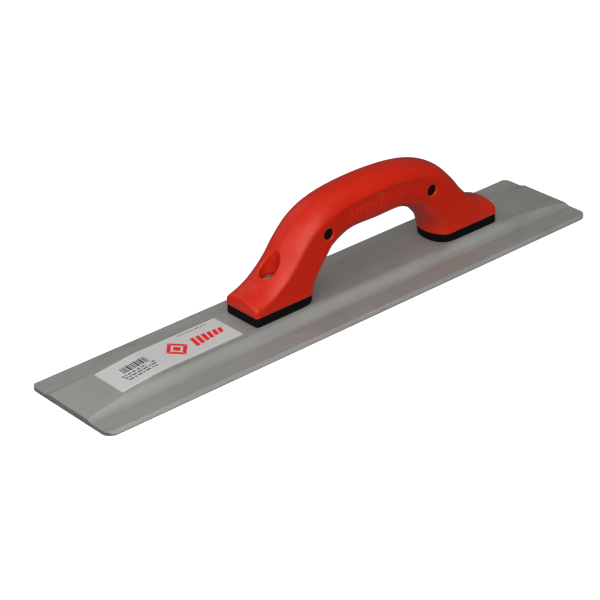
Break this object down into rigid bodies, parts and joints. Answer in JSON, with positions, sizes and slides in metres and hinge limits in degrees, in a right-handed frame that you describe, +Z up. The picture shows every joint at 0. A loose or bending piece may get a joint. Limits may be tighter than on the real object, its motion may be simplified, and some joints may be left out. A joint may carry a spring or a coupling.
{
  "type": "concrete hand float",
  "caption": "Long flat-soled light-alloy hand float with a raised centre land, bevelled edges and a two-material bow handle, for smoothing fresh concrete.",
  "frame": {"origin": "centre of the blade's flat working face", "axes": "+X along the blade away from the labelled end, +Y across the blade, +Z up from the working face towards the handle"},
  "size_m": [0.4064, 0.0794, 0.0768],
  "materials": {
    "alloy": "satin mill finish",
    "core_plastic": "semi-matte black",
    "grip_rubber": "satin soft touch",
    "zinc_steel": "bright zinc plate",
    "paper": "satin coated"
  },
  "bodies": {
    "root": {"blade": "alloy", "handle_core": "core_plastic", "handle_grip": "grip_rubber", "front_screw": "zinc_steel", "front_lock_washer": "zinc_steel", "front_washer": "zinc_steel", "rear_screw": "zinc_steel", "rear_lock_washer": "zinc_steel", "rear_washer": "zinc_steel", "label": "paper"}
  },
  "joints": []
}
